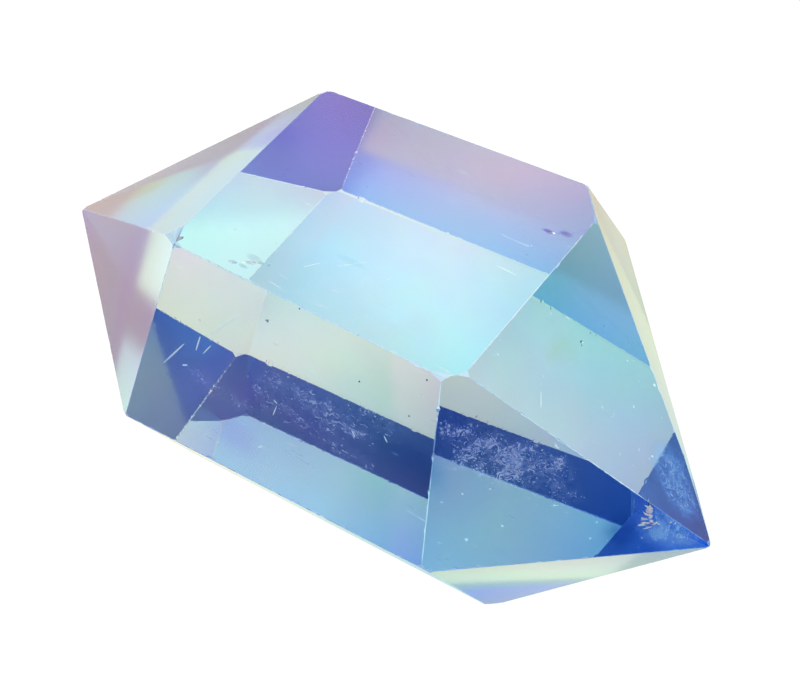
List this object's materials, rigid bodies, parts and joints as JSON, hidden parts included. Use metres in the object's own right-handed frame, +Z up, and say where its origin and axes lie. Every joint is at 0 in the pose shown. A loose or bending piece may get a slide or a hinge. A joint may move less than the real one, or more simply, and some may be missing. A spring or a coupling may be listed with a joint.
{
  "type": "quartz crystal point",
  "caption": "Polished double-terminated quartz crystal with a blue iridescent aura coating, lying on one flat side; a loose display or jewellery stone.",
  "frame": {"origin": "middle of the bounding box, at the height of the side that the crystal lies on", "axes": "+X along the crystal from its left point to its right point, +Z up, away from the side that it lies on"},
  "size_m": [0.0398, 0.0266, 0.0202],
  "materials": {
    "aura_quartz": "polished"
  },
  "bodies": {
    "root": {"crystal": "aura_quartz"}
  },
  "joints": []
}
